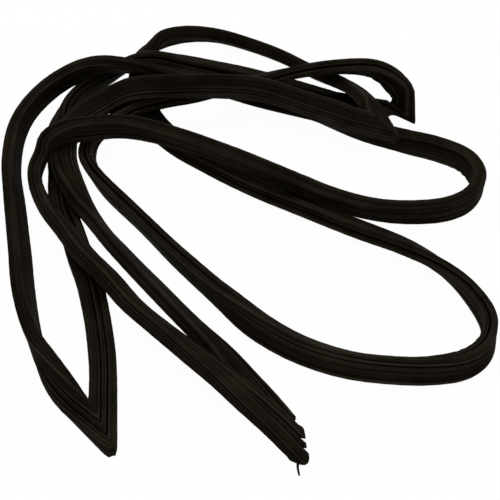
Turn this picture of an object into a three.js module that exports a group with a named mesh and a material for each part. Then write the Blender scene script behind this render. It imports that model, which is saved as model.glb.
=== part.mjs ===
// A door gasket for an upright refrigerator: one rectangular ring of soft profile strip,
// welded at its four corners and lying on the floor in the tangle that it was dropped in.
// Millimetres, +Z up. The origin is under the middle of the heap, at floor level.

import * as THREE from 'three';

// The ring, measured along the middle of the strip from corner to corner
const longSide = 1549;
const shortSide = 686;

// The strip's section: a runs across it, n through it, and +a is the ring's outer edge
const stripWidth = 20;
const stripThickness = 11;
const edgeRound = 2.8;

// The front's two grooves, with a rib between them, beside the smooth crown that seals
const crownGrooveAt = -1.0;
const lipGrooveAt = 3.4;
const frontGrooveWidth = 1.6;
const crownGrooveDepth = 2.4;
const lipGrooveDepth = 3.4;
const ribDrop = 0.4;

// The back's two grooves, and the fold of the bellows in the outer edge
const backGrooveAt = [3.1, 6.4];
const backGrooveWidth = 1.4;
const backGrooveDepth = 1.7;
const bellowsAt = 0.3;
const bellowsWidth = 2.4;
const bellowsDepth = 2.6;

// How finely the strip is drawn: the longest step, how far a step may cut a bend's corner,
// and the most that the strip rolls in one step
const longestStep = 80;
const largestCut = 0.36;
const largestRoll = THREE.MathUtils.degToRad(24);
const samplesPerPoint = 12;
const weldClearance = 3;

// How strands that lie against each other are pressed apart, and the room left between them
const strandGap = 2.2;
const pressEvery = 2;
const pressRounds = 500;
const pressEase = 2;
const pressSpread = [0.06, 0.1, 0.14, 0.4, 0.14, 0.1, 0.06];
const sameBendLength = 66;

// The lay, side by side round the ring. Each point is [x, y, lift, roll]: its place in plan,
// how many strip thicknesses it is raised above lying on the floor, and the strip's roll in
// degrees, with 0 for the back down and the outer edge on the left of the way along.
const firstLongSide = [
  // up the left edge of the heap, standing on edge
  [-104, -177, 0, 360], [-118, -161, 0, 345], [-132, -144, 0, 312], [-143, -123, 0, 280],
  [-154, -101, 0, 262], [-166, -64, 0, 255], [-179, -11, 0, 255], [-191, 46, 0, 256],
  // over the top left bend and down to the right across the heap
  [-199, 91, 0, 258], [-198, 136, 0.2, 262], [-185, 171, 0.6, 270], [-162, 191, 1.3, 283],
  [-134, 195, 2.1, 298], [-104, 197, 1.9, 314], [-75, 199, 1.1, 330], [-35, 196, 0.2, 345],
  [9, 178, 0, 345], [54, 157, 0, 328], [94, 137, 0, 305], [131, 120, 0, 284],
  // the right-hand loop, and back to the left
  [160, 107, 0, 274], [181, 93, 0, 270], [188, 72, 0, 268], [179, 50, 0, 264],
  [161, 38, 0, 258], [132, 33, 0, 252], [96, 36, 0.1, 250], [57, 48, 0.5, 252],
  [17, 61, 1.5, 256], [-24, 82, 1.7, 262], [-66, 101, 1.7, 272], [-104, 111, 2, 285],
  // the small bend at the left, and the long run down to the folded corner
  [-135, 111, 2.2, 290], [-159, 105, 2.1, 285], [-174, 92, 1.4, 275], [-178, 75, 0.8, 274],
  [-171, 50, 0.6, 285], [-159, 22, 0.9, 300], [-143, -5, 1.2, 310], [-126, -27, 1, 314],
  [-107, -46, 0.6, 314], [-88, -69, 0.1, 314], [-68, -93, 0.2, 316], [-45, -121, 0.8, 322],
  [-20, -152, 1.3, 332], [1, -177, 1.6, 342], [16, -192, 1.2, 352], [25, -197, 0.5, 360],
];
const firstShortSide = [
  // under the run before it and back up to the left
  [25, -197, 0.5, 180], [20, -183, 0.1, 180], [11, -162, 0, 184], [-3, -139, 0, 198],
  [-23, -113, 0, 216], [-43, -90, 0, 226], [-72, -52, 0, 230], [-103, -11, 0, 232],
  [-121, 16, 0.1, 236], [-136, 45, 0.2, 242], [-146, 74, 0.3, 238], [-150, 102, 0.5, 220],
  // round the left bend and across the top to the inner corner
  [-149, 128, 0.8, 206], [-142, 152, 0.8, 210], [-126, 167, 1.2, 218], [-100, 168, 2.5, 222],
  [-65, 166, 2.8, 222], [-26, 161, 2.7, 222], [10, 158, 2.1, 222], [47, 148, 1.6, 222],
  [72, 137, 1.6, 222], [92, 122, 1.8, 222], [110, 111, 2.1, 222],
];
const secondLongSide = [
  // from the inner corner to the far edge of the heap
  [110, 111, 2.1, 222], [103, 137, 2.1, 222], [90, 163, 1.9, 222], [74, 190, 1, 222],
  [55, 215, 0.2, 224], [32, 234, 0, 225], [0, 254, 0, 225], [-32, 267, 0, 226],
  [-60, 268, 0, 235], [-80, 260, 0, 240], [-92, 242, 0, 220], [-96, 221, 0, 200],
  // under the heap and out to the right
  [-97, 199, 0, 188], [-91, 177, 0, 182], [-76, 153, 0, 178], [-55, 125, 0, 172],
  [-29, 95, 0, 160], [4, 65, 0, 150], [44, 39, 0, 143], [83, 15, 0, 140],
  // the large loop at the front right
  [121, -9, 0, 134], [149, -34, 0, 118], [167, -62, 0, 102], [175, -87, 0, 96],
  [171, -109, 0, 98], [156, -123, 0, 108], [133, -130, 0, 122], [104, -130, 0, 131],
  [72, -125, 0, 131], [40, -113, 0, 122], [9, -91, 0, 106], [-23, -57, 0.1, 90],
  // back to the left, and the tight bend there
  [-54, -18, 0, 80], [-86, 24, 0, 74], [-114, 58, 0, 74], [-128, 78, 0.1, 78],
  [-134, 96, 0.1, 84], [-133, 115, 0.2, 100], [-129, 132, 0.2, 128], [-121, 149, 0.5, 142],
  // over everything along the top, then down to the upper corner
  [-104, 161, 1, 146], [-78, 167, 1.1, 148], [-48, 172, 1.2, 150], [-17, 176, 1.5, 150],
  [13, 183, 1.6, 148], [43, 184, 2.3, 142], [77, 180, 3, 138], [105, 177, 3, 136],
  [123, 172, 2.3, 122], [133, 168, 1.2, 85], [134, 160, 0, 45],
];
const secondShortSide = [
  // along the far side to the left
  [134, 160, 0, 45], [115, 161, 0, 38], [92, 171, 0, 30], [62, 185, 0, 25],
  [31, 199, 0, 25], [0, 211, 0.1, 25], [-31, 220, 0.2, 25], [-63, 223, 0.7, 26],
  [-92, 219, 1.4, 32], [-112, 216, 0.6, 45], [-130, 205, 0.1, 58],
  // down the left inside the first side, flattening towards the tip
  [-145, 187, 0, 68], [-155, 166, 0, 66], [-163, 144, 0, 52], [-167, 119, 0, 36],
  [-166, 89, 0, 44], [-159, 60, 0, 52], [-151, 35, 0, 38], [-142, 12, 0, 18],
  [-134, -12, 0, 5], [-126, -38, 0, 0], [-118, -69, 0, 0], [-112, -99, 0, 0],
  [-107, -128, 0, 0], [-103, -154, 0, 0], [-104, -177, 0, 0],
];
const sides = [firstLongSide, firstShortSide, secondLongSide, secondShortSide];

// A groove cut into the section's front (face 1) or back (face -1), drawn along +a or -a
function groove(at, width, depth, face, way) {
  const surface = face * stripThickness / 2;
  return [
    [at - way * width / 2, surface],
    [at, surface - face * depth],
    [at + way * width / 2, surface],
  ];
}

// An edge between two faces, rounded at the front and only broken at the back
function softEdge(signA, signN, startsOnFace) {
  const a = signA * stripWidth / 2;
  const n = signN * stripThickness / 2;
  const bend = edgeRound * (1 - Math.SQRT1_2);
  const points = [[a - signA * edgeRound, n], [a, n - signN * edgeRound]];
  if (signN > 0) points.splice(1, 0, [a - signA * bend, n - signN * bend]);
  return startsOnFace ? points : points.reverse();
}

// The strip's outline, anticlockwise as seen against the way along
function stripOutline() {
  const half = stripWidth / 2;
  const crownGroove = groove(crownGrooveAt, frontGrooveWidth, crownGrooveDepth, 1, -1);
  const lipGroove = groove(lipGrooveAt, frontGrooveWidth, lipGrooveDepth, 1, -1);
  crownGroove[0][1] -= ribDrop;
  lipGroove[2][1] -= ribDrop;
  return [
    ...softEdge(-1, -1, false),
    ...backGrooveAt.flatMap((at) => groove(at, backGrooveWidth, backGrooveDepth, -1, 1)),
    ...softEdge(1, -1, true),
    [half, bellowsAt - bellowsWidth / 2],
    [half - bellowsDepth, bellowsAt],
    [half, bellowsAt + bellowsWidth / 2],
    ...softEdge(1, 1, false),
    ...lipGroove,
    ...crownGroove,
    ...softEdge(-1, 1, true),
  ];
}

// The height of the strip's middle line when it rests on the floor at a given roll
function restHeight(roll) {
  const across = Math.abs(Math.sin(roll)) * stripWidth / 2;
  return across + Math.abs(Math.cos(roll)) * stripThickness / 2;
}

// One side's middle line, sampled finely, with the roll at each sample
function sampleSide(points, planScale) {
  const plan = new THREE.CatmullRomCurve3(
    points.map(([x, y]) => new THREE.Vector3(x * planScale, y * planScale, 0)), false, 'centripetal');
  const laid = new THREE.CatmullRomCurve3(
    points.map(([, , lift, roll]) => new THREE.Vector3(lift, roll, 0)), false, 'catmullrom', 0.5);
  const count = (points.length - 1) * samplesPerPoint;
  const samples = [];
  for (let i = 0; i <= count; i += 1) {
    const place = plan.getPoint(i / count);
    const { x: lift, y: degrees } = laid.getPoint(i / count);
    const roll = THREE.MathUtils.degToRad(degrees);
    place.z = Math.max(0, lift) * stripThickness + restHeight(roll);
    samples.push({ place, roll });
  }
  return samples;
}

// The way along, the direction to the outer edge and the direction out of the front
function addFrames(samples) {
  const last = samples.length - 1;
  let reach = 0;
  samples.forEach((sample, i) => {
    const before = samples[Math.max(0, i - 1)].place;
    const after = samples[Math.min(last, i + 1)].place;
    sample.along = after.clone().sub(before).normalize();
    const left = new THREE.Vector3(-sample.along.y, sample.along.x, 0).normalize();
    const up = sample.along.clone().cross(left);
    const cos = Math.cos(sample.roll);
    const sin = Math.sin(sample.roll);
    sample.edge = left.clone().multiplyScalar(cos).addScaledVector(up, sin);
    sample.front = up.clone().multiplyScalar(cos).addScaledVector(left, -sin);
    reach += i > 0 ? sample.place.distanceTo(samples[i - 1].place) : 0;
    sample.reach = reach;
  });
  return samples;
}

// The samples that press on each other, a few strip widths apart, each with its place round the ring
function pressedNodes(sampled) {
  const nodes = [];
  let start = 0;
  sampled.forEach((samples) => {
    for (let i = 0; i < samples.length - 1; i += pressEvery) {
      const { place, edge, roll, reach } = samples[i];
      nodes.push({ place: place.clone(), home: place.clone(), edge, roll, reach: start + reach });
    }
    start += samples[samples.length - 1].reach;
  });
  return { nodes, around: start };
}

function neighbouringPairs(nodes, around) {
  const near = 2 * stripWidth + strandGap;
  const pairs = [];
  nodes.forEach((one, i) => {
    for (let j = i + 1; j < nodes.length; j += 1) {
      const apart = nodes[j].reach - one.reach;
      const sameBend = Math.min(apart, around - apart) < sameBendLength;
      if (!sameBend && one.place.distanceTo(nodes[j].place) < near) pairs.push([i, j]);
    }
  });
  return pairs;
}

// A strand's room is a row of circles across its section, as thick as the strip
function circlesAt({ place, edge }) {
  const outermost = (stripWidth - stripThickness) / 2;
  return [-1, 0, 1].map((across) => place.clone().addScaledVector(edge, across * outermost));
}

function averagePushes(nodes, pairs) {
  const circles = nodes.map(circlesAt);
  const pushes = nodes.map(() => ({ sum: new THREE.Vector3(), count: 0 }));
  const needed = stripThickness + strandGap;
  const way = new THREE.Vector3();
  pairs.forEach(([i, j]) => {
    circles[i].forEach((one) => circles[j].forEach((other) => {
      const lacking = needed - way.subVectors(one, other).length();
      if (lacking <= 0) return;
      way.normalize().multiplyScalar(lacking / 2);
      pushes[i].sum.add(way);
      pushes[j].sum.sub(way);
      pushes[i].count += 1;
      pushes[j].count += 1;
    }));
  });
  return pushes.map(({ sum, count }) => sum.divideScalar(Math.max(1, count)));
}

// Each strand moves out of the others' room, and its neighbours along the strip go with it
function pressApart(sampled) {
  const { nodes, around } = pressedNodes(sampled);
  const pairs = neighbouringPairs(nodes, around);
  const middle = (pressSpread.length - 1) / 2;
  for (let round = 0; round < pressRounds; round += 1) {
    const pushes = averagePushes(nodes, pairs);
    nodes.forEach((node, i) => {
      pressSpread.forEach((share, k) => {
        const push = pushes[(i + k - middle + nodes.length) % nodes.length];
        node.place.addScaledVector(push, share * pressEase);
      });
      node.place.z = Math.max(node.place.z, restHeight(node.roll));
    });
  }
  const shifts = nodes.map(({ place, home }) => place.clone().sub(home));
  let first = 0;
  sampled.forEach((samples) => {
    samples.forEach((sample, i) => {
      const before = shifts[(first + Math.floor(i / pressEvery)) % shifts.length];
      const after = shifts[(first + Math.floor(i / pressEvery) + 1) % shifts.length];
      sample.place.add(before.clone().lerp(after, (i % pressEvery) / pressEvery));
    });
    first += (samples.length - 1) / pressEvery;
  });
  return sampled.map(addFrames);
}

function ringAt({ place, edge, front }, outline) {
  return outline.map(([a, n]) => place.clone().addScaledVector(edge, a).addScaledVector(front, n));
}

// The welded corner: the section carried on to the plane that halves the angle
function mitre(end, start, outline) {
  const back = end.along.clone().negate();
  const normal = back.clone().sub(start.along).normalize();
  const points = ringAt(end, outline).map((point) => {
    const offset = point.clone().sub(end.place).dot(normal);
    return point.addScaledVector(back, -offset / back.dot(normal));
  });
  const reach = Math.max(...ringAt(end, outline).map((point, i) => point.distanceTo(points[i])));
  return { points, reach };
}

// The samples that become sections: closer together where the strip bends or rolls
function chooseStations(samples, startReach, endReach) {
  const total = samples[samples.length - 1].reach;
  const first = startReach + weldClearance;
  const last = total - endReach - weldClearance;
  const inside = samples.filter(({ reach }) => reach >= first && reach <= last);
  const effort = [0];
  for (let i = 1; i < inside.length; i += 1) {
    const step = inside[i].reach - inside[i - 1].reach;
    const turn = inside[i].along.angleTo(inside[i - 1].along);
    const roll = Math.abs(inside[i].roll - inside[i - 1].roll);
    const bend = Math.sqrt(step * turn / (8 * largestCut));
    effort.push(effort[i - 1] + Math.hypot(step / longestStep, bend, roll / largestRoll));
  }
  const count = Math.ceil(effort[effort.length - 1]);
  const chosen = [];
  for (let k = 0; k <= count; k += 1) {
    const wanted = effort[effort.length - 1] * k / count;
    chosen.push(inside[effort.findIndex((value) => value >= wanted - 1e-9)]);
  }
  return chosen;
}

// Every section round the ring, in order, with each corner's weld once
function ringSections(outline, planScale) {
  const sampled = pressApart(sides.map((points) => addFrames(sampleSide(points, planScale))));
  const welds = sampled.map((samples, i) => {
    const previous = sampled[(i + sides.length - 1) % sides.length];
    return mitre(previous[previous.length - 1], samples[0], outline);
  });
  return sampled.flatMap((samples, i) => {
    const endWeld = welds[(i + 1) % sides.length];
    const stations = chooseStations(samples, welds[i].reach, endWeld.reach);
    return [welds[i].points, ...stations.map((station) => ringAt(station, outline))];
  });
}

// No section dips into the floor
function seat(section) {
  const lowest = Math.min(...section.map((point) => point.z));
  section.forEach((point) => {
    point.z -= Math.min(0, lowest);
  });
  return section;
}

function closedStrip(sections) {
  const size = sections[0].length;
  const indices = [];
  for (let i = 0; i < sections.length; i += 1) {
    const here = i * size;
    const next = ((i + 1) % sections.length) * size;
    for (let k = 0; k < size; k += 1) {
      const side = (k + 1) % size;
      indices.push(here + k, here + side, next + side);
      indices.push(here + k, next + side, next + k);
    }
  }
  const geometry = new THREE.BufferGeometry().setFromPoints(sections.flat());
  geometry.setIndex(indices);
  geometry.computeBoundingBox();
  const { min, max } = geometry.boundingBox;
  geometry.translate(-(min.x + max.x) / 2, -(min.y + max.y) / 2, -min.z);
  geometry.computeVertexNormals();
  return geometry;
}

// The plan is scaled so that the strip's middle line has the ring's real length
function planScaleForRing() {
  const drawn = sides.reduce((sum, points) => {
    const samples = addFrames(sampleSide(points, 1));
    return sum + samples[samples.length - 1].reach;
  }, 0);
  return 2 * (longSide + shortSide) / drawn;
}

const outline = stripOutline();
const sections = ringSections(outline, planScaleForRing()).map(seat);
const rubber = new THREE.MeshStandardMaterial({ color: 0x1c1915, roughness: 0.55, metalness: 0 });
const gasket = new THREE.Mesh(closedStrip(sections), rubber);
gasket.name = 'door_gasket';

const group = new THREE.Group();
group.add(gasket);
export default group;
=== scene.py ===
# A refrigerator door gasket lying in a loose heap: the looks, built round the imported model.
# The strip is swept along the lay below, in millimetres, and turned to metres at the end.
import math

import bpy
import numpy as np
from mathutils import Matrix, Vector


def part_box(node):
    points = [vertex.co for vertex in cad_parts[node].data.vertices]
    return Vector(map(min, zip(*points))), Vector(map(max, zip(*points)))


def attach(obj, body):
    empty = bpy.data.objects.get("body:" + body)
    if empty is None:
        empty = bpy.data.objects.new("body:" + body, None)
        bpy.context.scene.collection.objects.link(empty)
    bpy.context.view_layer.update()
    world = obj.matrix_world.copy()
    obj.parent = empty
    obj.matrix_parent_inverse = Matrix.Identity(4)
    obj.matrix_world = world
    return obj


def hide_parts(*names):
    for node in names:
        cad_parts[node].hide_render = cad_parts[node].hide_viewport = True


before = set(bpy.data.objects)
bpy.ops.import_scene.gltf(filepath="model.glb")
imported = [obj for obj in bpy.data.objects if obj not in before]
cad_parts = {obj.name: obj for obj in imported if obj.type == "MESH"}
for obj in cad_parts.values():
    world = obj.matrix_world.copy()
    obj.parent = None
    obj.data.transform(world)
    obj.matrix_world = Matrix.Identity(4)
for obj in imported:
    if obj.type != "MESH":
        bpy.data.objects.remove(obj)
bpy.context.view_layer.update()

# The lay, side by side round the ring. Each point is (x, y, lift, roll): its place in plan,
# how many strip thicknesses it is raised above lying on the floor, and its roll in degrees.
# The points were picked in the photo, turned to millimetres and pressed apart by a program
# outside this script, and most of them were then moved by hand.
firstLongSide = [
    # up the left edge of the heap, standing on edge
    (-103, -185, 0, 360), (-121, -167, 0, 345), (-136, -147, 0, 312), (-149, -124, 0, 280),
    (-160, -101, 0, 260), (-171, -64, 0, 246), (-181, -11, 0, 243), (-192, 46, 0, 248),
    # over the top left bend and down to the right across the heap
    (-200, 91, 0, 256), (-199, 136, 0.2, 262), (-186, 170, 0.6, 270), (-162, 190, 1.3, 283),
    (-134, 195, 2.1, 298), (-104, 197, 1.9, 314), (-75, 200, 1.1, 330), (-35, 200, 0.2, 343),
    (9, 182, 0, 342), (54, 157, 0, 320), (94, 135, 0, 294), (131, 122, 0, 272),
    # the right-hand loop, and back to the left
    (160, 110, 0, 264), (182, 94, 0, 262), (189, 72, 0, 266), (179, 49, 0, 266),
    (161, 37, 0, 264), (132, 32, 0, 260), (96, 35, 0.1, 254), (57, 48, 0.5, 250),
    (17, 61, 1.5, 248), (-24, 83, 1.7, 248), (-66, 104, 1.7, 252), (-104, 113, 2, 260),
    # the small bend at the left, and the long run down to the folded corner
    (-135, 108, 2.2, 270), (-156, 98, 2.2, 256), (-171, 84, 1.5, 250), (-177, 68, 0.8, 264),
    (-171, 48, 0.6, 285), (-159, 21, 0.9, 300), (-143, -5, 1.2, 310), (-127, -28, 1, 314),
    (-109, -47, 0.6, 314), (-89, -71, 0.1, 314), (-68, -94, 0.2, 316), (-45, -122, 0.8, 322),
    (-19, -151, 1.2, 332), (3, -177, 1.5, 342), (20, -192, 1.2, 352), (31.5, -199, 0.5, 360),
]
firstShortSide = [
    # under the run before it and back up to the left
    (31.5, -199, 0.5, 180), (25, -184, 0.1, 180), (12, -163, 0, 184), (-5, -140, 0, 198),
    (-25, -113, 0, 216), (-44, -90, 0, 226), (-73, -52, 0, 230), (-103, -12, 0, 234),
    (-122, 15, 0.1, 240), (-140, 43, 0.5, 222), (-152, 73, 1, 198), (-156, 100, 1.1, 190),
    # round the left bend and across the top to the inner corner
    (-152, 126, 1.1, 199), (-140, 145, 1.1, 210), (-122, 157, 1.3, 218), (-99, 158, 2.2, 222),
    (-65, 158, 2.6, 222), (-26, 159, 2.6, 222), (10, 161, 2.1, 222), (47, 150, 1.6, 222),
    (72, 137, 1.6, 222), (92, 122, 1.8, 222), (110, 111, 2.1, 222),
]
secondLongSide = [
    # from the inner corner to the far edge of the heap
    (110, 111, 2.1, 222), (103, 137, 2.1, 222), (90, 163, 1.9, 222), (74, 190, 1, 222),
    (55, 215, 0.2, 224), (32, 237, 0, 225), (0, 257, 0, 225), (-32, 271, 0, 226),
    (-62, 272, 0, 235), (-83, 263, 0, 240), (-95, 244, 0, 220), (-98, 221, 0, 200),
    # under the heap and out to the right
    (-98, 199, 0, 188), (-94, 176, 0, 182), (-84, 151, 0, 178), (-64, 123, 0, 172),
    (-33, 94, 0, 162), (3, 65, 0, 156), (44, 40, 0, 153), (83, 16, 0, 152),
    # the large loop at the front right
    (122, -7, 0, 144), (151, -33, 0, 124), (170, -62, 0, 100), (178, -89, 0, 92),
    (172, -113, 0, 98), (156, -128, 0, 110), (133, -134, 0, 126), (104, -134, 0, 134),
    (72, -129, 0, 135), (40, -116, 0, 126), (8, -93, 0, 122), (-24, -58, 0.1, 90),
    # back to the left, and the tight bend there
    (-56, -19, 0, 80), (-88, 23, 0, 74), (-115, 57, 0, 74), (-129, 78, 0.1, 70),
    (-136, 96, 0.1, 76), (-135, 115, 0.2, 96), (-127, 128, 0.2, 128), (-117, 143, 0.5, 142),
    # over everything along the top, then down to the upper corner
    (-100, 154, 1, 146), (-76, 161, 1.1, 148), (-48, 168, 1.2, 150), (-17, 176, 1.5, 150),
    (13, 183, 1.6, 148), (43, 184, 2.3, 142), (77, 180, 3, 136), (105, 177, 3, 122),
    (123, 172, 2.3, 98), (133, 167, 1.2, 76), (134, 160, 0, 60),
]
secondShortSide = [
    # along the far side to the left
    (134, 160, 0, 60), (115, 163, 0, 60), (92, 172, 0, 48), (62, 185, 0, 32),
    (31, 199, 0, 25), (0, 211, 0.1, 25), (-31, 220, 0.2, 25), (-63, 223, 0.7, 26),
    (-92, 219, 1.4, 32), (-112, 216, 0.6, 45), (-130, 205, 0.1, 58),
    # down the left inside the first side, flattening towards the tip
    (-150, 185, 0, 68), (-161, 163, 0, 64), (-165, 142, 0, 48), (-162, 119, 0, 30),
    (-158, 89, 0, 14), (-155, 60, 0, 10), (-150, 35, 0, 10), (-142, 12, 0, 8),
    (-134, -12, 0, 3), (-125, -38, 0, 0), (-117, -69, 0, 0), (-111, -99, 0, 0),
    (-107, -128, 0, 0), (-105, -156, 0, 0), (-103, -185, 0, 0),
]
sides = [firstLongSide, firstShortSide, secondLongSide, secondShortSide]

# What a user would change on the gasket, in millimetres and degrees
strip = {
    "longSide": 1549,
    "shortSide": 686,
    "width": 20,
    "thickness": 11,
    "samplesPerPoint": 12,
    "pressEvery": 2,
    "pressRounds": 500,
    "strandGap": 1.1,
    "pressEase": 2,
    "pressSpread": (0.06, 0.1, 0.14, 0.4, 0.14, 0.1, 0.06),
    "sameBend": 66,
    "step": 3.8,
    "largestCut": 0.45,
    "widestFlat": 1.75,
    "roundSteps": ((2.5, 5), (1, 4), (0, 3)),
    "floorGap": 0.05,
}

# The section's outline, anticlockwise against the way along: across, through, and each corner's radius
section = [
    (-10, -5.5, 1.6),
    (2.5, -5.5, 0.3), (3.1, -3.6, 0.25), (3.7, -5.5, 0.3),
    (5.8, -5.5, 0.3), (6.4, -3.8, 0.25), (7.0, -5.5, 0.3),
    (10, -5.5, 1.6),
    (10, -1.0, 0.5), (7.3, 0.2, 0.4), (10, 1.5, 0.5),
    (10, 5.5, 1.9),
    (4.3, 5.5, 0.6), (3.4, 1.9, 0.3), (2.6, 5.1, 0.5),
    (-0.2, 5.1, 0.5), (-1.0, 2.9, 0.3), (-1.9, 5.6, 0.7),
    (-10, 5.5, 3.0),
]

# The four welds: the cleared length beside each, and how far out its point is rounded and notched
weld = {
    "clearance": 3,
    "steps": 8,
    "reach": 50,
    "from": 13,
    "length": 11,
    "notch": 2.4,
    "notchWidth": 1.5,
    "notchFull": 9,
}

# The surface and its painted shade and highlight: long wavers, each with its turns round the ring and
# the section, its phase and its share; wrinkles inside bends tighter than the curvature given; weld
# beads, with the level, swing, number and phase of their lumps; dents; and where the grooves' painted
# shade and the ridges' painted highlight begin
surfaceAndShade = {
    "waver": 0.125,
    "wavers": ((31, 1, 0, 1), (53, -2, 1, 0.7), (97, 3, 0, 0.4)),
    "wrinkle": 0.8,
    "wrinkleLength": 6.4,
    "wrinkleFrom": 0.012,
    "wrinkleOver": 0.02,
    "wrinkleSlant": 0.5,
    "wrinkleDrift": 2.2,
    "driftLength": 13,
    "bendSpan": 3,
    "bead": 0.45,
    "beadWidth": 0.9,
    "beadLumps": (0.8, 0.5, 7, 1),
    "dents": 0.12,
    "dentTurns": ((211, 5), (163, -3)),
    "grooveFrom": 0.5,
    "grooveOver": 2.2,
    "ridgeSpread": 0.5,
    "ridgeFull": 0.9,
}

# A shred of flash left hanging from the folded corner, lying on the floor in front of it
shred = {
    "points": ((30.5, -196, 3), (33, -206, 1.6), (32.2, -211, 1.3), (33.4, -217, 1.1)),
    "radius": 1.2,
    "taper": 0.15,
    "bevelSteps": 3,
}

# The noises are a scale, a detail and a roughness
rubber = {
    "colour": (0.0038, 0.0025, 0.0012, 1),
    "dusty": (0.0165, 0.0121, 0.008, 1),
    # painted highlight on the ridges
    "paintedRidgeHighlight": (0.036, 0.0296, 0.0215, 1),
    # painted shade laid into the grooves
    "paintedGrooveShade": (0.0006, 0.0004, 0.0002, 1),
    "gloss": 0.005,
    "roughness": (0.5, 0.7),
    "streakLength": 3,
    "streakSize": 620,
    "streakShare": 0.7,
    "streaks": (1, 3, 0.6),
    "clouds": (34, 5, 0.62),
    "mottle": (230, 4, 0.65),
    "grain": (900, 2, 0.7),
    # the range that sets both the dust and the patches of painted highlight on the ridges
    "dustAndSheenRange": (0.42, 0.72),
    "bump": 0.1,
    "bumpDepth": 0.0006,
}

# The lamps are a name, a place, a power and a size
room = {
    "floor": 6,
    "floorColour": (0.86, 0.86, 0.86, 1),
    "floorRoughness": 0.9,
    "shadow": 0.03,
    "world": 0.55,
    "lamps": (("softbox", (-0.35, 0.55, 1.5), 16, 1.6), ("fill", (0.9, -1.2, 1.1), 5, 1.2)),
}

# The photo looks down at 45 degrees, from 1.08 m, at the point that fills the frame's middle
view = {"elevation": 45, "distance": 1.082, "pixelsPerMetre": 1266, "frame": 500}


# A smooth curve through the points, timed evenly for lift and roll, or by distance for the plan
def curveThrough(points, perPoint, even):
    points = np.asarray(points, float)
    padded = np.vstack([2 * points[0] - points[1], points, 2 * points[-1] - points[-2]])
    out = []
    for i in range(len(points) - 1):
        p0, p1, p2, p3 = padded[i:i + 4]
        if even:
            start, end = 0.5 * (p2 - p0), 0.5 * (p3 - p1)
        else:
            steps = ((p0, p1), (p1, p2), (p2, p3))
            d0, d1, d2 = (max(math.sqrt(np.linalg.norm(b - a)), 1e-4) for a, b in steps)
            start = ((p1 - p0) / d0 - (p2 - p0) / (d0 + d1) + (p2 - p1) / d1) * d1
            end = ((p2 - p1) / d1 - (p3 - p1) / (d1 + d2) + (p3 - p2) / d2) * d1
        t = (np.arange(perPoint) / perPoint)[:, None]
        bend, ease = -3 * p1 + 3 * p2 - 2 * start - end, 2 * p1 - 2 * p2 + start + end
        out.append(p1 + start * t + bend * t ** 2 + ease * t ** 3)
    return np.vstack([*out, points[-1:]])


# The height of the strip's middle line where it lies on the floor with this roll
def restHeight(roll):
    return abs(np.sin(roll)) * strip["width"] / 2 + abs(np.cos(roll)) * strip["thickness"] / 2


def sampleSide(points, planScale):
    points = np.asarray(points, float)
    plan = curveThrough(points[:, :2] * planScale, strip["samplesPerPoint"], False)
    laid = curveThrough(points[:, 2:], strip["samplesPerPoint"], True)
    roll = np.radians(laid[:, 1])
    height = np.maximum(0, laid[:, 0]) * strip["thickness"] + restHeight(roll)
    return np.column_stack([plan, height]), roll


def unit(v):
    return v / np.linalg.norm(v, axis=-1, keepdims=True)


# At each place: the way along, the way across the strip's width and the way out of its front
def framesAlong(place, roll):
    along = np.empty_like(place)
    along[1:-1] = place[2:] - place[:-2]
    along[0], along[-1] = place[1] - place[0], place[-1] - place[-2]
    along = unit(along)
    left = unit(np.column_stack([-along[:, 1], along[:, 0], np.zeros(len(along))]))
    up = np.cross(along, left)
    cos, sin = np.cos(roll)[:, None], np.sin(roll)[:, None]
    return along, left * cos + up * sin, up * cos - left * sin


def lengths(place):
    return np.concatenate([[0], np.cumsum(np.linalg.norm(np.diff(place, axis=0), axis=1))])


# Strands that lie against each other are pressed apart, and no strand goes below the floor
def pressApart(sampled):
    every = strip["pressEvery"]
    start, home, edges, floor, reach = 0, [], [], [], []
    for place, roll in sampled:
        _, edge, _ = framesAlong(place, roll)
        home.append(place[:-1:every])
        edges.append(edge[:-1:every])
        floor.append(restHeight(roll)[:-1:every])
        run = lengths(place)
        reach.append(start + run[:-1:every])
        start += run[-1]
    home, edges = np.vstack(home), np.vstack(edges)
    floor, reach = np.concatenate(floor), np.concatenate(reach)
    one, other = np.triu_indices(len(home), 1)
    apart = reach[other] - reach[one]
    near = np.linalg.norm(home[one] - home[other], axis=1) < 2 * strip["width"] + strip["strandGap"]
    keep = near & (np.minimum(apart, start - apart) >= strip["sameBend"])
    one, other = one[keep], other[keep]
    # three circles across the width stand for the strip, each as wide as it is thick
    outermost = (strip["width"] - strip["thickness"]) / 2
    shares = [(a * outermost, b * outermost) for a in (-1, 0, 1) for b in (-1, 0, 1)]
    ways = [edges[one] * a - edges[other] * b for a, b in shares]
    needed = strip["thickness"] + strip["strandGap"]
    middle = len(strip["pressSpread"]) // 2
    place = home.copy()
    for _ in range(strip["pressRounds"]):
        base = place[one] - place[other]
        push, count = np.zeros_like(place), np.zeros(len(place))
        for way in ways:
            gap = base + way
            far = np.sqrt((gap ** 2).sum(1))
            hit = far < needed
            if not hit.any():
                continue
            move = gap[hit] * ((needed - far[hit]) / 2 / far[hit])[:, None]
            for k in range(3):
                push[:, k] += np.bincount(one[hit], move[:, k], len(place))
                push[:, k] -= np.bincount(other[hit], move[:, k], len(place))
            for ends in (one, other):
                count += np.bincount(ends[hit], minlength=len(place))
        push /= np.maximum(1, count)[:, None]
        for k, share in enumerate(strip["pressSpread"]):
            place += np.roll(push, middle - k, axis=0) * share * strip["pressEase"]
        place[:, 2] = np.maximum(place[:, 2], floor)
    shift = place - home
    first, moved = 0, []
    for points, roll in sampled:
        node = first + np.arange(len(points)) // every
        part = ((np.arange(len(points)) % every) / every)[:, None]
        before, after = shift[node % len(shift)], shift[(node + 1) % len(shift)]
        moved.append((points + before * (1 - part) + after * part, roll))
        first += (len(points) - 1) // every
    return moved


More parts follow.
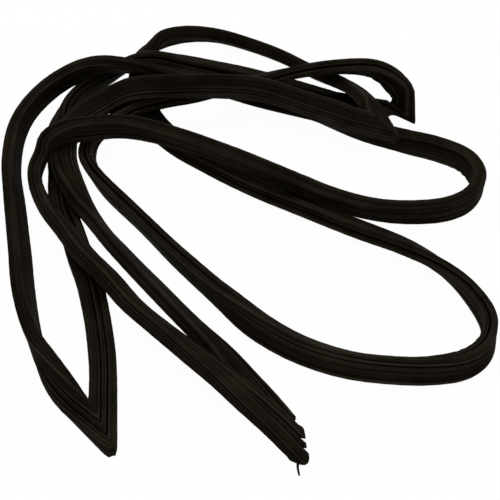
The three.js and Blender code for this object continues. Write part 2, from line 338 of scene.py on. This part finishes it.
# The outline with its corners rounded and its long flats divided
def sectionPoints():
    rounded = []
    corners = [np.array(corner[:2], float) for corner in section]
    for i, (_, _, radius) in enumerate(section):
        here, before, after = corners[i], corners[i - 1], corners[(i + 1) % len(corners)]
        back, on = unit(before - here), unit(after - here)
        half = math.acos(max(-1, min(1, float(back @ on)))) / 2
        shorter = min(np.linalg.norm(before - here), np.linalg.norm(after - here))
        cut = min(radius / math.tan(half), strip["largestCut"] * shorter)
        first, last = here + back * cut, here + on * cut
        count = next(steps for least, steps in strip["roundSteps"] if radius > least)
        for t in np.linspace(0, 1, count):
            rounded.append(first * (1 - t) ** 2 + here * 2 * t * (1 - t) + last * t ** 2)
    full = []
    for i, point in enumerate(rounded):
        nextOne = rounded[(i + 1) % len(rounded)]
        parts = int(np.linalg.norm(nextOne - point) // strip["widestFlat"])
        full += [point + (nextOne - point) * k / (parts + 1) for k in range(parts + 1)]
    return np.array(full)


def ringsAt(place, edge, front, outline):
    return place[:, None] + edge[:, None] * outline[None, :, :1] + front[:, None] * outline[None, :, 1:]


# The section carried on to the plane that halves the angle, and how far it had to be carried
def mitre(end, start, outline):
    place, along, edge, front = end
    normal = unit(-along - start)
    flat = ringsAt(place[None], edge[None], front[None], outline)[0]
    carried = (flat - place) @ normal / (along @ normal)
    return flat - along * carried[:, None], np.abs(carried).max()


def sampleAt(values, run, wanted):
    return np.column_stack([np.interp(wanted, run, values[:, k]) for k in range(values.shape[1])])


# One side's sections from weld to weld, and how far along the side each one lies
def sideRings(side, startWeld, endWeld, outline):
    place, _, edge, front = side
    run = lengths(place)
    first = startWeld[1] + weld["clearance"]
    last = run[-1] - endWeld[1] - weld["clearance"]
    wanted = np.linspace(first, last, int((last - first) / strip["step"]) + 1)
    edges, fronts = unit(sampleAt(edge, run, wanted)), unit(sampleAt(front, run, wanted))
    body = ringsAt(sampleAt(place, run, wanted), edges, fronts, outline)
    steps = np.arange(weld["steps"]) / weld["steps"]
    blend = steps[:, None, None]
    lead = startWeld[0][None] * (1 - blend) + body[:1] * blend
    tail = body[-1:] * (1 - blend[1:]) + endWeld[0][None] * blend[1:]
    reach = [first * steps, wanted, last + (run[-1] - last) * steps[1:]]
    return np.vstack([lead, body, tail]), np.concatenate(reach), run[-1]


# Every section round the ring, how far along the ring each one lies, and where the welds are
def sweptRings(outline):
    drawn = sum(lengths(sampleSide(points, 1)[0])[-1] for points in sides)
    planScale = 2 * (strip["longSide"] + strip["shortSide"]) / drawn
    sampled = pressApart([sampleSide(points, planScale) for points in sides])
    print("strands pressed apart")
    framed = [(place, *framesAlong(place, roll)) for place, roll in sampled]
    welds = []
    for i, side in enumerate(framed):
        end = [values[-1] for values in framed[i - 1]]
        welds.append(mitre(end, side[1][0], outline))
    rings, reach, corner, total = [], [], [], 0
    for i, side in enumerate(framed):
        sections, sideReach, sideLength = sideRings(side, welds[i], welds[(i + 1) % 4], outline)
        rings.append(sections)
        reach.append(total + sideReach)
        total += sideLength
        corner.append(total)
    rings, reach = np.vstack(rings), np.concatenate(reach)
    for i, at in enumerate(corner):
        middle, endAlong = framed[i][0][-1], framed[i][1][-1]
        startAlong = framed[(i + 1) % 4][1][0]
        roundWeld(rings, distanceTo(at, reach, total), middle, unit(endAlong - startAlong))
    return rings, reach, corner, total


def distanceTo(at, reach, total):
    return np.abs((reach - at + total / 2) % total - total / 2)


# The weld's sharp point is shortened and rounded, and is notched where the two ends meet
def roundWeld(rings, toWeld, middle, outward):
    near = toWeld < weld["reach"]
    beyond = np.maximum(0, (rings[near] - middle) @ outward - weld["from"])
    kept = weld["length"] * (1 - np.exp(-beyond / weld["length"]))
    narrow = np.exp(-(toWeld[near, None] / weld["notchWidth"]) ** 2)
    notch = weld["notch"] * narrow * np.clip(beyond / weld["notchFull"], 0, 1)
    rings[near] += outward * (kept - beyond - notch)[:, :, None]


# Ripples on the inner side of tight bends, slanting across the strip
def wrinkles(rings, reach, middle, outward):
    span = surfaceAndShade["bendSpan"]
    nextOne, before = np.roll(middle, -span, axis=0), np.roll(middle, span, axis=0)
    inward = (nextOne + before) / 2 - middle
    chord = np.linalg.norm(nextOne - before, axis=1) / 2
    bend = 2 * np.linalg.norm(inward, axis=1) / np.maximum(chord, 1) ** 2
    tight = np.clip((bend - surfaceAndShade["wrinkleFrom"]) / surfaceAndShade["wrinkleOver"], 0, 1)
    toward = unit(inward + 1e-9)
    inner = np.clip((outward * toward[:, None]).sum(2), 0, 1) ** 2
    drift = surfaceAndShade["wrinkleDrift"] * np.sin(reach / surfaceAndShade["driftLength"])
    phase = reach * 2 * math.pi / surfaceAndShade["wrinkleLength"] + drift
    slant = (rings[:, :, 2] - middle[:, None, 2]) * surfaceAndShade["wrinkleSlant"]
    return np.sin(phase[:, None] + slant) * inner * tight[:, None] * surfaceAndShade["wrinkle"]


def shapeSurface(rings, reach, corner, total):
    middle = rings.mean(axis=1)
    outward = unit(rings - middle[:, None])
    spot = np.linspace(0, 2 * math.pi, rings.shape[1], endpoint=False)[None]
    turn = reach[:, None] * 2 * math.pi / total
    waver = sum(np.sin(a * turn + b * spot + c) * share for a, b, c, share in surfaceAndShade["wavers"])
    (a, b), (c, d) = surfaceAndShade["dentTurns"]
    dents = np.sin(a * turn + b * spot) * np.sin(c * turn + d * spot)
    toWeld = np.min([distanceTo(at, reach, total) for at in corner], axis=0)[:, None]
    level, swing, lumps, phase = surfaceAndShade["beadLumps"]
    uneven = level + swing * np.sin(spot * lumps + phase)
    bead = np.exp(-(toWeld / surfaceAndShade["beadWidth"]) ** 2) * surfaceAndShade["bead"] * uneven
    away = wrinkles(rings, reach, middle, outward) + waver * surfaceAndShade["waver"]
    away += dents * surfaceAndShade["dents"] + bead
    return rings + outward * away[:, :, None]


# How far each point of the outline lies inside the strip's plain rectangle, from 0 to 1: the share of
# painted shade the grooves get
def grooveDepth(outline):
    a, n = np.abs(outline[:, 0]), np.abs(outline[:, 1])
    inside = np.minimum(strip["width"] / 2 - a, strip["thickness"] / 2 - n)
    return np.clip((inside - surfaceAndShade["grooveFrom"]) / surfaceAndShade["grooveOver"], 0, 1)


# How sharply the outline turns outwards at each point: the ridges that get a painted highlight
def ridgeHeight(outline):
    on = unit(np.roll(outline, -1, axis=0) - outline)
    back = unit(outline - np.roll(outline, 1, axis=0))
    turn = np.maximum(back[:, 0] * on[:, 1] - back[:, 1] * on[:, 0], 0)
    spread = turn + surfaceAndShade["ridgeSpread"] * (np.roll(turn, 1) + np.roll(turn, -1))
    return np.clip(spread / surfaceAndShade["ridgeFull"], 0, 1)


def gasketMesh(rings, reach, total, outline):
    count, size = rings.shape[:2]
    i, k = np.meshgrid(np.arange(count), np.arange(size), indexing="ij")
    ahead, side = (i + 1) % count, (k + 1) % size
    corners = [i * size + k, i * size + side, ahead * size + side, ahead * size + k]
    faces = np.stack(corners, axis=2).reshape(-1, 4)
    mesh = bpy.data.meshes.new("gasket_strip")
    mesh.from_pydata((rings * 0.001).reshape(-1, 3).tolist(), [], faces.tolist())
    # the UV map runs along the strip and round its outline, in metres
    along = np.append(reach, total) * 0.001
    edges = np.linalg.norm(np.diff(outline, axis=0, append=outline[:1]), axis=1)
    across = np.append(0, np.cumsum(edges)) * 0.001
    u = np.stack([along[i], along[i], along[i + 1], along[i + 1]], axis=2)
    v = np.stack([across[k], across[k + 1], across[k + 1], across[k]], axis=2)
    layer = mesh.uv_layers.new(name="strip")
    layer.data.foreach_set("uv", np.stack([u, v], axis=3).ravel())
    # the groove attribute sets the painted shade in the grooves, the ridge attribute the painted
    # highlight on the ridges
    for name, values in (("groove", grooveDepth(outline)), ("ridge", ridgeHeight(outline))):
        shade = mesh.attributes.new(name, "FLOAT", "POINT")
        shade.data.foreach_set("value", np.tile(values, count).astype(np.float32))
    mesh.polygons.foreach_set("use_smooth", np.ones(len(faces), bool))
    mesh.update()
    return mesh


# The ring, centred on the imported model, and how far it was shifted for that
def buildGasket():
    outline = sectionPoints()
    rings, reach, corner, total = sweptRings(outline)
    rings = shapeSurface(rings, reach, corner, total)
    count, size = rings.shape[:2]
    print("sections", count, "points each", size, "triangles", 2 * count * size)
    low = rings[:, :, 2].min(axis=1)
    rings[:, :, 2] += np.maximum(0, strip["floorGap"] - low)[:, None]
    lowest, highest = rings.reshape(-1, 3).min(0), rings.reshape(-1, 3).max(0)
    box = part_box("door_gasket")
    middle = np.array(box[0] + box[1])[:2] * 500
    shift = np.append(middle - (lowest + highest)[:2] / 2, 0)
    gasket = bpy.data.objects.new("gasket_strip", gasketMesh(rings + shift, reach, total, outline))
    bpy.context.scene.collection.objects.link(gasket)
    return gasket, shift


def buildShred(shift):
    curve = bpy.data.curves.new("torn_shred", "CURVE")
    curve.dimensions = "3D"
    curve.bevel_depth = shred["radius"] * 0.001
    curve.bevel_resolution = shred["bevelSteps"]
    curve.use_fill_caps = True
    spline = curve.splines.new("NURBS")
    spline.points.add(len(shred["points"]) - 1)
    for i, point in enumerate(shred["points"]):
        spline.points[i].co = (*((np.array(point) + shift) * 0.001), 1)
        spline.points[i].radius = 1 - shred["taper"] * i
    spline.use_endpoint_u = True
    spline.order_u = 3
    torn = bpy.data.objects.new("torn_shred", curve)
    bpy.context.scene.collection.objects.link(torn)
    bpy.ops.object.select_all(action="DESELECT")
    torn.select_set(True)
    bpy.context.view_layer.objects.active = torn
    bpy.ops.object.convert(target="MESH")
    return bpy.context.object


def addNoise(tree, vector, scale, detail, roughness):
    node = tree.nodes.new("ShaderNodeTexNoise")
    node.inputs["Scale"].default_value = scale
    node.inputs["Detail"].default_value = detail
    node.inputs["Roughness"].default_value = roughness
    tree.links.new(vector, node.inputs["Vector"])
    return node.outputs["Fac"]


def combine(tree, operation, *values):
    node = tree.nodes.new("ShaderNodeMath")
    node.operation = operation
    for socket, value in zip(node.inputs, values):
        if isinstance(value, (int, float)):
            socket.default_value = value
        else:
            tree.links.new(value, socket)
    return node.outputs[0]


def mixColours(tree, share, first, second):
    node = tree.nodes.new("ShaderNodeMix")
    node.data_type = "RGBA"
    tree.links.new(share, node.inputs["Factor"])
    for name, value in (("A", first), ("B", second)):
        if isinstance(value, tuple):
            node.inputs[name].default_value = value
        else:
            tree.links.new(value, node.inputs[name])
    return node.outputs["Result"]


def mapRange(tree, value, before=(0, 1), after=(0, 1)):
    node = tree.nodes.new("ShaderNodeMapRange")
    node.inputs["From Min"].default_value, node.inputs["From Max"].default_value = before
    node.inputs["To Min"].default_value, node.inputs["To Max"].default_value = after
    tree.links.new(value, node.inputs["Value"])
    return node.outputs["Result"]


def attribute(tree, name):
    node = tree.nodes.new("ShaderNodeAttribute")
    node.attribute_name = name
    return node.outputs["Fac"]


def rubberMaterial():
    material = bpy.data.materials.new("gasket_rubber")
    material.use_nodes = True
    tree = material.node_tree
    nodes, links = tree.nodes, tree.links
    shader = nodes["Principled BSDF"]
    shader.inputs["Specular IOR Level"].default_value = rubber["gloss"]
    place = nodes.new("ShaderNodeTexCoord").outputs["Object"]
    # extrusion streaks run along the strip
    strands = nodes.new("ShaderNodeUVMap")
    strands.uv_map = "strip"
    stretch = nodes.new("ShaderNodeMapping")
    stretch.inputs["Scale"].default_value = (rubber["streakLength"], rubber["streakSize"], 1)
    links.new(strands.outputs["UV"], stretch.inputs["Vector"])
    streaks = addNoise(tree, stretch.outputs["Vector"], *rubber["streaks"])
    # cloudy handling marks, a mottle and a fine grain
    clouds = addNoise(tree, place, *rubber["clouds"])
    mottle = addNoise(tree, place, *rubber["mottle"])
    grain = addNoise(tree, place, *rubber["grain"])
    cloudy = combine(tree, "MULTIPLY", clouds, 1 - rubber["streakShare"])
    mixed = combine(tree, "MULTIPLY_ADD", streaks, rubber["streakShare"], cloudy)
    dustAndSheen = mapRange(tree, mixed, before=rubber["dustAndSheenRange"])
    colour = mixColours(tree, dustAndSheen, rubber["colour"], rubber["dusty"])
    # painted highlight on the ridges, in patches where the dust is, and painted shade in the grooves
    highlightPatches = combine(tree, "MULTIPLY", attribute(tree, "ridge"), dustAndSheen)
    paintedRidgeHighlight = mixColours(tree, highlightPatches, colour, rubber["paintedRidgeHighlight"])
    # painted shade darkens the grooves
    shaded = mixColours(tree, attribute(tree, "groove"), paintedRidgeHighlight, rubber["paintedGrooveShade"])
    links.new(shaded, shader.inputs["Base Color"])
    rough = mapRange(tree, mottle, after=rubber["roughness"])
    links.new(rough, shader.inputs["Roughness"])
    bump = nodes.new("ShaderNodeBump")
    bump.inputs["Strength"].default_value = rubber["bump"]
    bump.inputs["Distance"].default_value = rubber["bumpDepth"]
    height = combine(tree, "ADD", combine(tree, "ADD", streaks, mottle), grain)
    links.new(height, bump.inputs["Height"])
    links.new(bump.outputs["Normal"], shader.inputs["Normal"])
    return material


# The camera sees white, apart from the share kept for the shadow; the light meets the real shader
def seenWhite(tree, shader, keep, output):
    nodes, links = tree.nodes, tree.links
    path = nodes.new("ShaderNodeLightPath").outputs
    seen = combine(tree, "MAXIMUM", path["Is Camera Ray"], path["Is Transmission Ray"])
    seen = combine(tree, "MAXIMUM", seen, path["Is Glossy Ray"])
    white = nodes.new("ShaderNodeBackground" if "Background" in nodes else "ShaderNodeEmission")
    white.inputs["Color"].default_value = (1, 1, 1, 1)
    white.inputs["Strength"].default_value = 1
    mix = nodes.new("ShaderNodeMixShader")
    links.new(combine(tree, "MULTIPLY", seen, 1 - keep), mix.inputs["Fac"])
    links.new(shader.outputs[0], mix.inputs[1])
    links.new(white.outputs[0], mix.inputs[2])
    links.new(mix.outputs[0], output.inputs["Surface"])


def buildFloor():
    bpy.ops.object.select_all(action="DESELECT")
    bpy.ops.mesh.primitive_plane_add(size=room["floor"])
    floor = bpy.context.object
    floor.name = "floor"
    material = bpy.data.materials.new("pale_floor")
    material.use_nodes = True
    nodes = material.node_tree.nodes
    shader = nodes["Principled BSDF"]
    shader.inputs["Base Color"].default_value = room["floorColour"]
    shader.inputs["Roughness"].default_value = room["floorRoughness"]
    seenWhite(material.node_tree, shader, room["shadow"], nodes["Material Output"])
    floor.data.materials.append(material)


def aimAt(thing, target):
    way = Vector(target) - thing.location
    thing.rotation_euler = way.to_track_quat("-Z", "Y").to_euler()


def buildLights():
    world = bpy.data.worlds.new("studio")
    bpy.context.scene.world = world
    world.use_nodes = True
    nodes = world.node_tree.nodes
    nodes["Background"].inputs["Color"].default_value = (1, 1, 1, 1)
    nodes["Background"].inputs["Strength"].default_value = room["world"]
    seenWhite(world.node_tree, nodes["Background"], 0, nodes["World Output"])
    for name, place, power, size in room["lamps"]:
        lamp = bpy.data.lights.new(name, "AREA")
        lamp.energy = power
        lamp.size = size
        holder = bpy.data.objects.new(name, lamp)
        bpy.context.scene.collection.objects.link(holder)
        holder.location = place
        aimAt(holder, (0, 0, 0))


def buildCamera(shift):
    lens = bpy.data.cameras.new("photo_camera")
    lens.sensor_width = 36
    lens.lens = lens.sensor_width * view["pixelsPerMetre"] * view["distance"] / view["frame"]
    camera = bpy.data.objects.new("photo_camera", lens)
    bpy.context.scene.collection.objects.link(camera)
    lift = math.radians(view["elevation"])
    aim = Vector(shift * 0.001)
    camera.location = aim + Vector((0, -math.cos(lift), math.sin(lift))) * view["distance"]
    aimAt(camera, aim)
    bpy.context.scene.camera = camera


gasket, shift = buildGasket()
gasket.data.materials.append(rubberMaterial())
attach(gasket, "root")
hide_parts("door_gasket")
print("gasket made")

torn = buildShred(shift)
torn.data.materials.append(gasket.data.materials[0])
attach(torn, "root")
print("shred made")

buildFloor()
buildLights()
buildCamera(shift)
bpy.context.scene.view_settings.view_transform = "Standard"
print("floor, lights and camera placed")
